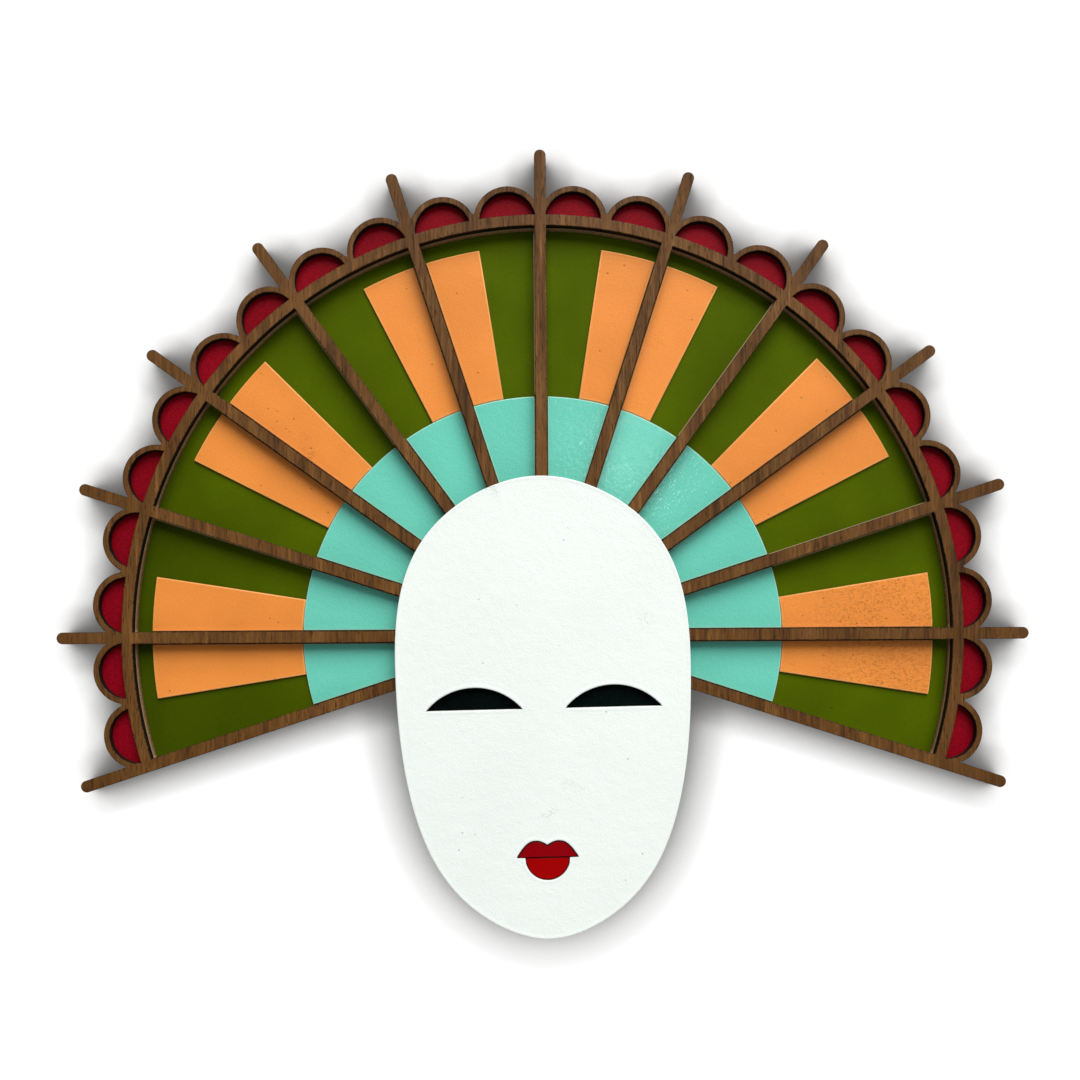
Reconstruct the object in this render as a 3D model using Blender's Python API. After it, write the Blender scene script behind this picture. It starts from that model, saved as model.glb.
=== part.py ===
"""Wall mask of layered wooden boards: an egg-shaped face on a scalloped fan of ribs and panels.

All lengths are metres. The mask lies on its back, with its front towards +Z and its crown towards +Y.
The origin is the centre of the fan, on the back face of the back board. Angles in the plane of the
boards are measured clockwise from +Y, as someone who looks at the front sees them.
"""

import math

import bmesh
import bpy
from mathutils import Vector

# Boards, panels and the gaps between them
BOARD_THICKNESS = 0.0032
PANEL_THICKNESS = 0.0010
GLUE_GAP = 0.0003
SIDE_GAP = 0.0003

# Fan of ribs
BAY_COUNT = 12
RIB_PITCH = math.radians(18.0)
RIB_WIDTH = 0.0047
RIM_INNER_RADIUS = 0.1641
RIM_WIDTH = 0.0044
SPIKE_LENGTH = 0.0259
HUB_MARGIN = 0.006

# Scallops along the rim
SCALLOPS_PER_BAY = 2
SCALLOP_SET_IN = 0.0017
SCALLOP_LAP = 0.0004
LOOP_WIDTH = 0.0023
CREASE_RADIUS = 0.0005

# Painted panels
TEAL_RADIUS = 0.0970
ORANGE_MARGIN = 0.0059

# Face
FACE_DROP = 0.0099
FACE_TILT = math.radians(1.1)
FACE_HALF_WIDTH = 0.0587
CROWN_HEIGHT = 0.0734
CHIN_DEPTH = 0.1106
FLANK_SWELL = 0.06
CROWN_SWELL = 0.03
CHIN_SWELL = 0.14
BACKING_INSET = 0.006

# Eyes
EYE_SPACING = 0.0554
EYE_DROP = 0.0191
EYE_WIDTH = 0.0384
EYE_HEIGHT = 0.0089

# Mouth
MOUTH_DROP_SHARE = 0.705
MOUTH_WIDTH = 0.0239
LIP_PEAK_SPACING = 0.0088
LIP_PEAK_HEIGHT = 0.0062
LIP_NOTCH_HEIGHT = 0.0045
LIP_SLOPE_POWER = 1.2
LOWER_LIP_RADIUS = 0.0086

# Segments of the curves
TIP_STEPS = 6
SCALLOP_STEPS = 9
CREASE_STEPS = 2
HOLE_STEPS = 10
HOLE_BASE_STEPS = 2
BAY_STEPS = 4
HUB_STEPS = 10
FACE_STEPS = 72
EYE_STEPS = 14
LIP_SIDE_STEPS = 8
LIP_NOTCH_STEPS = 4
LOWER_LIP_STEPS = 14

# Sizes that follow from the ones above
RIM_OUTER_RADIUS = RIM_INNER_RADIUS + RIM_WIDTH
TIP_RADIUS = RIM_OUTER_RADIUS + SPIKE_LENGTH
HUB_RADIUS = RIB_WIDTH / (2 * math.sin(RIB_PITCH / 2)) + HUB_MARGIN
SCALLOP_PITCH = RIB_PITCH / SCALLOPS_PER_BAY
SCALLOP_CENTRE_RADIUS = RIM_OUTER_RADIUS - SCALLOP_SET_IN
SCALLOP_RADIUS = SCALLOP_CENTRE_RADIUS * math.sin(SCALLOP_PITCH / 2) + SCALLOP_LAP
HOLE_RADIUS = SCALLOP_RADIUS - LOOP_WIDTH
ORANGE_RADIUS = RIM_INNER_RADIUS - ORANGE_MARGIN
MOUTH_DROP = MOUTH_DROP_SHARE * CHIN_DEPTH

# Heights of the undersides
LAYER_RISE = BOARD_THICKNESS + GLUE_GAP
FRAME_Z = LAYER_RISE
LATTICE_Z = 2 * LAYER_RISE
FACE_Z = 3 * LAYER_RISE

CENTRE = Vector((0.0, 0.0))


def clear_scene():
    """Remove every object of the scene."""
    for item in list(bpy.data.objects):
        bpy.data.objects.remove(item, do_unlink=True)


def make_material(name, colour, roughness):
    """Principled material with one colour."""
    material = bpy.data.materials.new(name)
    material.use_nodes = True
    shader = material.node_tree.nodes["Principled BSDF"]
    shader.inputs["Base Color"].default_value = (*colour, 1.0)
    shader.inputs["Roughness"].default_value = roughness
    shader.inputs["Metallic"].default_value = 0.0
    return material


def direction(angle):
    """Unit vector at an angle clockwise from +Y."""
    return Vector((math.sin(angle), math.cos(angle)))


def arc(centre, radius, start, end, steps):
    """Points of an arc, both ends included."""
    span = end - start
    return [centre + radius * direction(start + span * step / steps) for step in range(steps + 1)]


def rib_angle(rib):
    """Angle of a rib's centre line, counted clockwise from the lower left rib."""
    return (rib - BAY_COUNT / 2) * RIB_PITCH


def sector(left, left_offset, right, right_offset, inner, outer, steps):
    """Ring sector whose two sides lie parallel to two rays, each at its offset inside its ray."""
    outer_arc = arc(CENTRE, outer, left + math.asin(left_offset / outer),
                    right - math.asin(right_offset / outer), steps)
    inner_arc = arc(CENTRE, inner, right - math.asin(right_offset / inner),
                    left + math.asin(left_offset / inner), steps)
    return outer_arc + inner_arc


def bay_opening(bay):
    """Outline of the opening between two neighbouring ribs."""
    side = RIB_WIDTH / 2
    return sector(rib_angle(bay), side, rib_angle(bay + 1), side, HUB_RADIUS, RIM_INNER_RADIUS, BAY_STEPS)


def scallop_opening(middle):
    """Outline of a scallop's opening: an arc of the scallop, closed by the rim's outer edge."""
    centre = SCALLOP_CENTRE_RADIUS * direction(middle)
    reach = (RIM_OUTER_RADIUS ** 2 - SCALLOP_CENTRE_RADIUS ** 2 - HOLE_RADIUS ** 2)
    end = math.acos(reach / (2 * SCALLOP_CENTRE_RADIUS * HOLE_RADIUS))
    half_base = math.asin(HOLE_RADIUS * math.sin(end) / RIM_OUTER_RADIUS)
    top = arc(centre, HOLE_RADIUS, middle - end, middle + end, HOLE_STEPS)
    base = arc(CENTRE, RIM_OUTER_RADIUS, middle + half_base, middle - half_base, HOLE_BASE_STEPS)
    return top + base[1:-1]


def scallop_middles():
    """Angles of the scallops' centres."""
    first = rib_angle(0) + SCALLOP_PITCH / 2
    return [first + number * SCALLOP_PITCH for number in range(BAY_COUNT * SCALLOPS_PER_BAY)]


def scallop_edge(bay):
    """Outer edge of one bay's scallops, from its left rib to its right rib."""
    half = SCALLOP_PITCH / 2
    spread = SCALLOP_CENTRE_RADIUS * math.sin(half)
    rib_end = half + math.asin((spread - RIB_WIDTH / 2) / SCALLOP_RADIUS)
    crease_reach = (SCALLOP_CENTRE_RADIUS * math.cos(half)
                    + math.sqrt((SCALLOP_RADIUS + CREASE_RADIUS) ** 2 - spread ** 2))
    crease_end = math.atan2(crease_reach * math.sin(half),
                            crease_reach * math.cos(half) - SCALLOP_CENTRE_RADIUS)
    last = SCALLOPS_PER_BAY - 1
    points = []
    for number in range(SCALLOPS_PER_BAY):
        middle = rib_angle(bay) + (number + 0.5) * SCALLOP_PITCH
        start = rib_end if number == 0 else crease_end
        end = rib_end if number == last else crease_end
        centre = SCALLOP_CENTRE_RADIUS * direction(middle)
        points += arc(centre, SCALLOP_RADIUS, middle - start, middle + end, SCALLOP_STEPS)
        if number < last:
            crease = middle + half
            turn = crease_end - half
            points += arc(crease_reach * direction(crease), CREASE_RADIUS,
                          crease + math.pi + turn, crease + math.pi - turn, CREASE_STEPS)[1:-1]
    return points


def fan_outline():
    """Outline of the fan: spikes and scallops over the top, and the hub between the lowest ribs."""
    half = RIB_WIDTH / 2
    points = []
    for rib in range(BAY_COUNT + 1):
        angle = rib_angle(rib)
        tip_centre = (TIP_RADIUS - half) * direction(angle)
        points += arc(tip_centre, half, angle - math.pi / 2, angle + math.pi / 2, TIP_STEPS)
        if rib < BAY_COUNT:
            points += scallop_edge(rib)
    hub = math.asin(half / HUB_RADIUS)
    points += arc(CENTRE, HUB_RADIUS, rib_angle(BAY_COUNT) + hub,
                  2 * math.pi + rib_angle(0) - hub, HUB_STEPS)
    return points


def fan_clearance_outline():
    """Outline around the fan's ribs and hub, one side gap away, for boards in the ribs' plane."""
    side = RIB_WIDTH / 2 + SIDE_GAP
    inner = HUB_RADIUS + SIDE_GAP
    reach = 2 * TIP_RADIUS
    left = rib_angle(0)
    right = rib_angle(BAY_COUNT)
    outer_arc = arc(CENTRE, reach, left - math.asin(side / reach), right + math.asin(side / reach), BAY_STEPS)
    hub_arc = arc(CENTRE, inner, right + math.asin(side / inner),
                  2 * math.pi + left - math.asin(side / inner), HUB_STEPS)
    return outer_arc + hub_arc


def on_face(point):
    """Move a point from the face's own frame, centred on its widest line, into the fan's frame."""
    cosine = math.cos(FACE_TILT)
    sine = math.sin(FACE_TILT)
    return Vector((point.x * cosine - point.y * sine, point.x * sine + point.y * cosine - FACE_DROP))


def egg(inset):
    """Egg outline in the face's own frame.

    Each half is half an ellipse, made fuller between its axes by a swelling that grows towards the
    crown and the chin.
    """
    points = []
    for step in range(FACE_STEPS):
        turn = 2 * math.pi * step / FACE_STEPS
        rise = math.cos(turn)
        upper = rise > 0
        height = (CROWN_HEIGHT if upper else CHIN_DEPTH) - inset
        end_swell = CROWN_SWELL if upper else CHIN_SWELL
        swell = math.sin(2 * turn) ** 2 * (FLANK_SWELL + end_swell * rise ** 4)
        points.append(Vector(((FACE_HALF_WIDTH - inset) * math.sin(turn) * (1 + swell), height * rise)))
    return points


def eye_outline(side):
    """Outline of an eye: a flat base line under an arc. The side is -1 on the left and 1 on the right."""
    half = EYE_WIDTH / 2
    radius = (half ** 2 + EYE_HEIGHT ** 2) / (2 * EYE_HEIGHT)
    end = math.asin(half / radius)
    centre = Vector((side * EYE_SPACING / 2, EYE_HEIGHT - EYE_DROP - radius))
    return arc(centre, radius, -end, end, EYE_STEPS)


def lip_edge():
    """Upper edge of the upper lip, from corner to corner, above the mouth line at y = 0.

    From the notch to each peak the height follows a quarter sine, and from the peak to the corner a
    quarter cosine of a power of the distance.
    """
    peak = LIP_PEAK_SPACING / 2
    side = MOUTH_WIDTH / 2 - peak
    right = []
    for step in range(LIP_NOTCH_STEPS):
        share = step / LIP_NOTCH_STEPS
        rise = (LIP_PEAK_HEIGHT - LIP_NOTCH_HEIGHT) * math.sin(share * math.pi / 2)
        right.append(Vector((share * peak, LIP_NOTCH_HEIGHT + rise)))
    for step in range(LIP_SIDE_STEPS + 1):
        share = step / LIP_SIDE_STEPS
        height = LIP_PEAK_HEIGHT * math.cos(share ** LIP_SLOPE_POWER * math.pi / 2)
        right.append(Vector((peak + share * side, height)))
    left = [Vector((-point.x, point.y)) for point in reversed(right[1:])]
    return left + right


def lower_lip_arc():
    """Round edge of the lower lip, from its right end to its left end, one side gap below y = 0."""
    centre = Vector((0.0, -SIDE_GAP))
    return arc(centre, LOWER_LIP_RADIUS, math.pi / 2, 3 * math.pi / 2, LOWER_LIP_STEPS)


def at_mouth(points):
    """Move points from the mouth line's frame into the face's own frame."""
    return [point - Vector((0.0, MOUTH_DROP)) for point in points]


def signed_area(points):
    """Area of an outline, negative when it runs clockwise."""
    total = 0.0
    for index, point in enumerate(points):
        other = points[(index + 1) % len(points)]
        total += point.x * other.y - other.x * point.y
    return total / 2


def grown(points, distance):
    """Outline moved outwards by a distance, with mitred corners."""
    facing = 1.0 if signed_area(points) > 0 else -1.0
    result = []
    count = len(points)
    for index, point in enumerate(points):
        before = (point - points[index - 1]).normalized()
        after = (points[(index + 1) % count] - point).normalized()
        normal_before = facing * Vector((before.y, -before.x))
        normal_after = facing * Vector((after.y, -after.x))
        mitre = (normal_before + normal_after).normalized()
        result.append(point + mitre * distance / mitre.dot(normal_after))
    return result


def mouth_outline():
    """Outline around both lips."""
    corner = LOWER_LIP_RADIUS
    return lip_edge() + [Vector((corner, 0.0))] + lower_lip_arc() + [Vector((-corner, 0.0))]


def plate(name, outline, openings, underside, thickness, material):
    """Flat board: an outline with its openings, filled and extruded upwards."""
    shape = bmesh.new()
    edges = []
    for loop in [outline] + openings:
        corners = [shape.verts.new((point.x, point.y, underside)) for point in loop]
        for index, corner in enumerate(corners):
            edges.append(shape.edges.new((corners[index - 1], corner)))
    filled = bmesh.ops.triangle_fill(shape, edges=edges, use_beauty=True)
    faces = [item for item in filled["geom"] if isinstance(item, bmesh.types.BMFace)]
    raised = bmesh.ops.extrude_face_region(shape, geom=faces)
    corners = [item for item in raised["geom"] if isinstance(item, bmesh.types.BMVert)]
    bmesh.ops.translate(shape, verts=corners, vec=(0.0, 0.0, thickness))
    bmesh.ops.recalc_face_normals(shape, faces=shape.faces)
    mesh = bpy.data.meshes.new(name)
    shape.to_mesh(mesh)
    shape.free()
    mesh.materials.append(material)
    item = bpy.data.objects.new(name, mesh)
    bpy.context.scene.collection.objects.link(item)
    return item


def cut(item, cutter):
    """Subtract a cutter from an object and keep the cutter out of the model."""
    cutter.hide_render = True
    cutter.display_type = "WIRE"
    modifier = item.modifiers.new("cut", "BOOLEAN")
    modifier.operation = "DIFFERENCE"
    modifier.solver = "EXACT"
    modifier.object = cutter


def build_boards():
    """Back board, red frame and rib lattice, one above the other."""
    outline = fan_outline()
    bays = [bay_opening(bay) for bay in range(BAY_COUNT)]
    loops = [scallop_opening(middle) for middle in scallop_middles()]
    plate("back_board", outline, [], 0.0, BOARD_THICKNESS,
          make_material("green_paint", (0.06, 0.10, 0.004), 0.55))
    plate("red_frame", outline, bays, FRAME_Z, BOARD_THICKNESS,
          make_material("red_paint", (0.24, 0.008, 0.02), 0.5))
    plate("rib_lattice", outline, bays + loops, LATTICE_Z, BOARD_THICKNESS,
          make_material("walnut", (0.13, 0.065, 0.03), 0.6))


def build_panels():
    """Teal and orange panels on the back board, inside each bay of the red frame."""
    teal = make_material("teal_paint", (0.18, 0.70, 0.55), 0.5)
    orange = make_material("orange_paint", (0.88, 0.32, 0.07), 0.5)
    side = RIB_WIDTH / 2 + SIDE_GAP
    inner = HUB_RADIUS + SIDE_GAP
    orange_start = TEAL_RADIUS + SIDE_GAP
    for bay in range(BAY_COUNT):
        left = rib_angle(bay)
        right = rib_angle(bay + 1)
        middle = (left + right) / 2
        number = f"{bay + 1:02d}"
        teal_outline = sector(left, side, right, side, inner, TEAL_RADIUS, BAY_STEPS)
        plate("teal_panel_" + number, teal_outline, [], FRAME_Z, PANEL_THICKNESS, teal)
        rib_on_left = bay % 2 == 1
        if rib_on_left:
            ends = (left, side, middle, 0.0)
        else:
            ends = (middle, 0.0, right, side)
        orange_outline = sector(*ends, orange_start, ORANGE_RADIUS, BAY_STEPS // 2)
        plate("orange_panel_" + number, orange_outline, [], FRAME_Z, PANEL_THICKNESS, orange)


def build_face():
    """White face plate, the black board behind it and the two lips in its mouth opening."""
    eyes = [[on_face(point) for point in eye_outline(side)] for side in (-1, 1)]
    mouth = [on_face(point) for point in at_mouth(grown(mouth_outline(), SIDE_GAP))]
    plate("face_plate", [on_face(point) for point in egg(0.0)], eyes + [mouth], FACE_Z, BOARD_THICKNESS,
          make_material("white_paint", (0.90, 0.95, 0.90), 0.5))
    backing = plate("face_backing", [on_face(point) for point in egg(BACKING_INSET)], [], LATTICE_Z,
                    BOARD_THICKNESS, make_material("black_paint", (0.004, 0.006, 0.006), 0.6))
    cutter = plate("fan_clearance", fan_clearance_outline(), [], FRAME_Z, 3 * BOARD_THICKNESS,
                   make_material("cutter", (0.5, 0.5, 0.5), 0.5))
    cut(backing, cutter)
    plate("upper_lip", [on_face(point) for point in at_mouth(lip_edge())], [], FACE_Z, BOARD_THICKNESS,
          make_material("upper_lip_paint", (0.26, 0.0, 0.003), 0.45))
    plate("lower_lip", [on_face(point) for point in at_mouth(lower_lip_arc())], [], FACE_Z,
          BOARD_THICKNESS, make_material("lower_lip_paint", (0.32, 0.0, 0.001), 0.45))


def main():
    """Build the whole mask."""
    clear_scene()
    build_boards()
    build_panels()
    build_face()


main()
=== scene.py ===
"""Looks of a layered wooden wall mask: boards, painted panels, face, finishes, lights and camera.

The mask lies on its back, with its front towards +Z and its crown towards +Y. The origin is the centre
of the fan, on the back face of the back board. Angles in the plane of the boards are measured clockwise
from +Y, and all lengths are metres.
"""

import logging
import math
from dataclasses import dataclass, replace
from enum import Enum, IntEnum

import bpy
import numpy as np
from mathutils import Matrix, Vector
from mathutils.geometry import delaunay_2d_cdt


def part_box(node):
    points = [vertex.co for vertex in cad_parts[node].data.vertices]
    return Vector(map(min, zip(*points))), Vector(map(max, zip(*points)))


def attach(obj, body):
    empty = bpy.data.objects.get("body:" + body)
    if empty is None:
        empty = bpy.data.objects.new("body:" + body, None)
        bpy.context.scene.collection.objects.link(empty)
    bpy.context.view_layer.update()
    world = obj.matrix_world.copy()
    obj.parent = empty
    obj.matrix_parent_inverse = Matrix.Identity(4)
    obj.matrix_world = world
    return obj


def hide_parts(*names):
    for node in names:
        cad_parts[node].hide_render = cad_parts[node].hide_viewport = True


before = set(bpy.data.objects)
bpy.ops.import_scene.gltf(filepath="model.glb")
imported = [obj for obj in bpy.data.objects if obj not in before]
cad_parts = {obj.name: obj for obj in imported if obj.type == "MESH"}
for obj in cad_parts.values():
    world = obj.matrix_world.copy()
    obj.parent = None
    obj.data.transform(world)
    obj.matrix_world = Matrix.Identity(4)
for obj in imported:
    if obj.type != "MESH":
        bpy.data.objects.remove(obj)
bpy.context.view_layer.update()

Loop = np.ndarray
Rgb = tuple[float, float, float]
Span = tuple[float, float]
Socket = bpy.types.NodeSocket
Feed = Socket | float | Rgb

LOG = logging.getLogger("mask")
BODY = "root"
RIM = "rim"  # Attribute that holds a board's edge value.
CORNER_TURN = 0.35  # Turn in radians from which a point of an outline counts as a corner.
CORNER_ROOM = 1.05  # Length cleared beside a corner, as a share of what the corner takes up.
MITRE_LIMIT = 1.5  # Longest mitre at a corner that turns right, in distances moved.
BAY_STEPS = 24  # Segments of the arc along the rim in each bay.
WELD = 1e-9  # Distance under which two points of a cap count as one.
FIBRE = 0.00008  # Depth of the fibres in sawn or burnt wood.
CENTRE = np.zeros(2)  # Centre of the fan, in the plane of the boards.
BLACK: Rgb = (0.0, 0.0, 0.0)
DUST: Rgb = (0.03, 0.03, 0.03)


def ray(angle: float | np.ndarray) -> np.ndarray:
    """Unit vectors at angles clockwise from +Y: (sine, cosine) of each angle, one row for each.

    Args:
        angle: One angle or an array of angles in radians.

    Returns:
        An array with two columns.
    """
    turn = np.atleast_1d(np.asarray(angle, float))
    return np.column_stack([np.sin(turn), np.cos(turn)])


def arc(centre: np.ndarray, radius: float, start: float, end: float, steps: int) -> Loop:
    """Arc as centre + radius * ray(turn), with the turn running evenly from start to end.

    Args:
        centre: The arc's centre, two numbers.
        radius: Radius in metres.
        start: First angle in radians.
        end: Last angle in radians.
        steps: Number of segments.

    Returns:
        The points, both ends included.
    """
    return np.asarray(centre) + radius * ray(np.linspace(start, end, steps + 1))


def doubled_area(loop: Loop) -> float:
    """Twice the signed area of a loop, positive where it runs anticlockwise."""
    ahead = np.roll(loop, -1, axis=0)
    return float(np.sum(loop[:, 0] * ahead[:, 1] - ahead[:, 0] * loop[:, 1]))


def running(loop: Loop, anticlockwise: bool) -> Loop:
    """The loop, turned round where it doesn't run the way that is asked for."""
    return loop if (doubled_area(loop) > 0) == anticlockwise else loop[::-1]


def turns(loop: Loop) -> np.ndarray:
    """Change of direction at each point of a closed loop, positive to the left."""
    edge = np.roll(loop, -1, axis=0) - loop
    before = np.roll(edge, 1, axis=0)
    cross = before[:, 0] * edge[:, 1] - before[:, 1] * edge[:, 0]
    return np.arctan2(cross, np.sum(before * edge, axis=1))


def cleared(loop: Loop, reach: float) -> Loop:
    """Loop without the points so near to a corner that the loop moved left would fold over itself.

    A corner that turns left by an angle takes up reach * tan(half the angle) of either side.

    Args:
        loop: Points of a closed outline.
        reach: How far the loop will be moved to the left.

    Returns:
        The thinned loop, with all its corners kept.
    """
    turn = turns(loop)
    corners = turn > CORNER_TURN
    away = np.linalg.norm(loop[:, None] - loop[corners][None], axis=2)
    crowded = np.any(away < CORNER_ROOM * reach * np.tan(turn[corners] / 2), axis=1)
    return loop[corners | ~crowded]


def moved_left(loop: Loop, distances: np.ndarray) -> np.ndarray:
    """Copies of a loop moved to the left of its own direction, with mitred corners.

    Each point goes along the mean of its two edges' left normals, by the distance divided by the cosine
    of half the corner's turn. At a corner that turns right it goes MITRE_LIMIT distances at most.

    Args:
        loop: Points of a closed outline.
        distances: How far each copy lies from the loop.

    Returns:
        An array of copies, points and two coordinates.
    """
    edge = np.roll(loop, -1, axis=0) - loop
    edge /= np.linalg.norm(edge, axis=1, keepdims=True)
    left = np.column_stack([-edge[:, 1], edge[:, 0]])
    mitre = left + np.roll(left, 1, axis=0)
    mitre /= np.linalg.norm(mitre, axis=1, keepdims=True)
    turn = turns(loop)
    reach = 1.0 / np.cos(turn / 2)
    reach = np.where(turn < 0, np.minimum(reach, MITRE_LIMIT), reach)
    return loop + np.asarray(distances)[:, None, None] * (mitre * reach[:, None])


class Skin(IntEnum):
    """Which of a board's surfaces a face belongs to, and so its material slot."""

    TOP = 0
    SIDE = 1
    UNDER = 2


class Hand(Enum):
    """A side of the mask as someone in front sees it, by the sign of x."""

    LEFT = -1
    RIGHT = 1


@dataclass(frozen=True)
class Edge:
    """Cross-section of a board's edge, from its back face round to its front face.

    Attributes:
        radius: Radius of the rounding at the front.
        steps: Segments of the rounding.
        band: Width of the strip beside the rounding over which the edge value fades out.
        foot: Size of the small chamfer at the back.
        bead: How far the front lies below the ridge that the paint builds along the edge.
        bead_width: Width of the slope from that ridge down to the front.
    """

    radius: float = 0.00015
    steps: int = 2
    band: float = 0.0006
    foot: float = 0.0001
    bead: float = 0.0
    bead_width: float = 0.0004

    def rings(self, underside: float, top: float) -> tuple[np.ndarray, np.ndarray, np.ndarray]:
        """Rings of the section: a chamfer at the back, a quarter circle at the front, and flat ones.

        The rounding's inset is radius * (1 - cosine) and its drop is radius * (1 - sine) of the turn.

        Args:
            underside: Height of the back face.
            top: Height of the ridge at the front.

        Returns:
            Insets from the outline, heights, and edge values from 0 on the flat to 1 at the edge.
        """
        turn = np.linspace(0.0, math.pi / 2, self.steps + 1)
        inset = np.concatenate([[self.foot + self.band, self.foot, 0.0],
                                self.radius * (1.0 - np.cos(turn)),
                                [self.radius + self.band / 2, self.radius + self.band, self.reach()]])
        height = np.concatenate([[underside, underside, underside + self.foot],
                                 top - self.radius * (1.0 - np.sin(turn)), [top, top, top - self.bead]])
        value = np.concatenate([[0.0, 1.0, 1.0], np.ones(self.steps + 1), [0.5, 0.0, 0.0]])
        kept = slice(None) if self.bead else slice(-1)
        return inset[kept], height[kept], value[kept]

    def reach(self) -> float:
        """How far the edge reaches into the board."""
        return self.radius + self.band + (self.bead_width if self.bead else 0.0)

    def skins(self) -> np.ndarray:
        """Surface of each strip between two rings."""
        front = self.steps + 2 + (self.bead > 0)
        return np.array([Skin.UNDER, Skin.SIDE, Skin.SIDE] + [Skin.TOP] * front)


@dataclass
class Board:
    """Flat board cut from an outline with openings, with a worked edge all round.

    Attributes:
        name: Name of the finished piece.
        outline: Its outer edge.
        openings: Edges of the openings through it.
        span: Heights of its back and front.
        edge: Cross-section of its edges.
    """

    name: str
    outline: Loop
    openings: list[Loop]
    span: Span
    edge: Edge = Edge()

    def ring_points(self) -> tuple[list[np.ndarray], np.ndarray, np.ndarray]:
        """Points of all rings of each loop, carried along the loop as (inset, height) pairs.

        Returns:
            For each loop an array of rings, points and three coordinates; the edge values; the skins.
        """
        inset, height, value = self.edge.rings(*self.span)
        loops = [running(self.outline, True)] + [running(loop, False) for loop in self.openings]
        loops = [cleared(loop, self.edge.reach()) for loop in loops]
        swept = []
        for loop in loops:
            flat = moved_left(loop, inset)
            rise = np.broadcast_to(height[:, None, None], (*flat.shape[:2], 1))
            swept.append(np.concatenate([flat, rise], axis=2))
        return swept, value, self.edge.skins()

    def mesh(self) -> bpy.types.Mesh:
        """Closed mesh of the board: swept edges, and a flat cap with openings at the front and back."""
        swept, value, skins = self.ring_points()
        points, values, faces, slots, smooth = [], [], [], [], []
        first, last, start = [], [], 0
        for rings in swept:
            count, size = rings.shape[:2]
            points.append(rings.reshape(-1, 3))
            values.append(np.repeat(value, size))
            index = start + np.arange(count * size).reshape(count, size)
            ahead = np.roll(index, -1, axis=1)
            quads = np.stack([index[:-1], ahead[:-1], ahead[1:], index[1:]], axis=2)
            faces += quads.reshape(-1, 4).tolist()
            slots.append(np.repeat(skins, size))
            smooth.append(np.ones(quads.shape[0] * size, bool))
            first.append(index[0])
            last.append(index[-1])
            start += count * size
        place = np.concatenate(points)
        for ring, skin, facing in ((first, Skin.UNDER, -1), (last, Skin.TOP, 1)):
            cap = capped(place, ring, facing)
            faces += cap.tolist()
            slots.append(np.full(len(cap), int(skin)))
            smooth.append(np.zeros(len(cap), bool))
        mesh = bpy.data.meshes.new(self.name)
        mesh.from_pydata(place.tolist(), [], faces)
        mesh.polygons.foreach_set("material_index", np.concatenate(slots).astype(np.int32))
        mesh.polygons.foreach_set("use_smooth", np.concatenate(smooth))
        rim = mesh.attributes.new(RIM, "FLOAT", "POINT")
        rim.data.foreach_set("value", np.concatenate(values).astype(np.float32))
        mesh.validate()
        mesh.update()
        return mesh

    def dress(self, node: str, slot: str, finishes: "Finishes") -> bpy.types.Object:
        """Make the piece, give it its finishes and let it stand for its node.

        Args:
            node: Node that the piece replaces.
            slot: Material slot of the record. Not used.
            finishes: Materials of its front, sides and back.

        Returns:
            The finished piece.
        """
        piece = bpy.data.objects.new(self.name, self.mesh())
        bpy.context.scene.collection.objects.link(piece)
        for material in (finishes.top, finishes.side, finishes.under):
            piece.data.materials.append(material)
        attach(piece, BODY)
        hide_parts(node)
        LOG.info("%s: %d faces", piece.name, len(piece.data.polygons))
        return piece


def capped(place: np.ndarray, rings: list[np.ndarray], facing: int) -> np.ndarray:
    """Triangles that fill a flat region between its outer ring and the rings of its openings.

    A triangle is kept where it lies within the outer ring and within no other.

    Args:
        place: All points of the mesh.
        rings: Indices of each ring's points, the outer ring first.
        facing: 1 for a cap that looks up, -1 for one that looks down.

    Returns:
        Rows of three point indices, all turned to face the same way.
    """
    index = np.concatenate(rings)
    corners = [Vector(point) for point in place[index, :2]]
    ends = np.cumsum([len(ring) for ring in rings])
    borders = [list(range(end - len(ring), end)) for ring, end in zip(rings, ends)]
    borders[1:] = [border[::-1] for border in borders[1:]]
    _, _, faces, origins, _, within = delaunay_2d_cdt(corners, [], borders, 0, WELD)
    kept = [[origins[corner][0] for corner in face] for face, inside in zip(faces, within)
            if list(inside) == [0]]
    triangles = index[np.array(kept)]
    return triangles if facing > 0 else triangles[:, ::-1]


@dataclass(frozen=True)
class Finishes:
    """Materials of a board's front, sides and back."""

    top: bpy.types.Material
    side: bpy.types.Material
    under: bpy.types.Material


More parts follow.
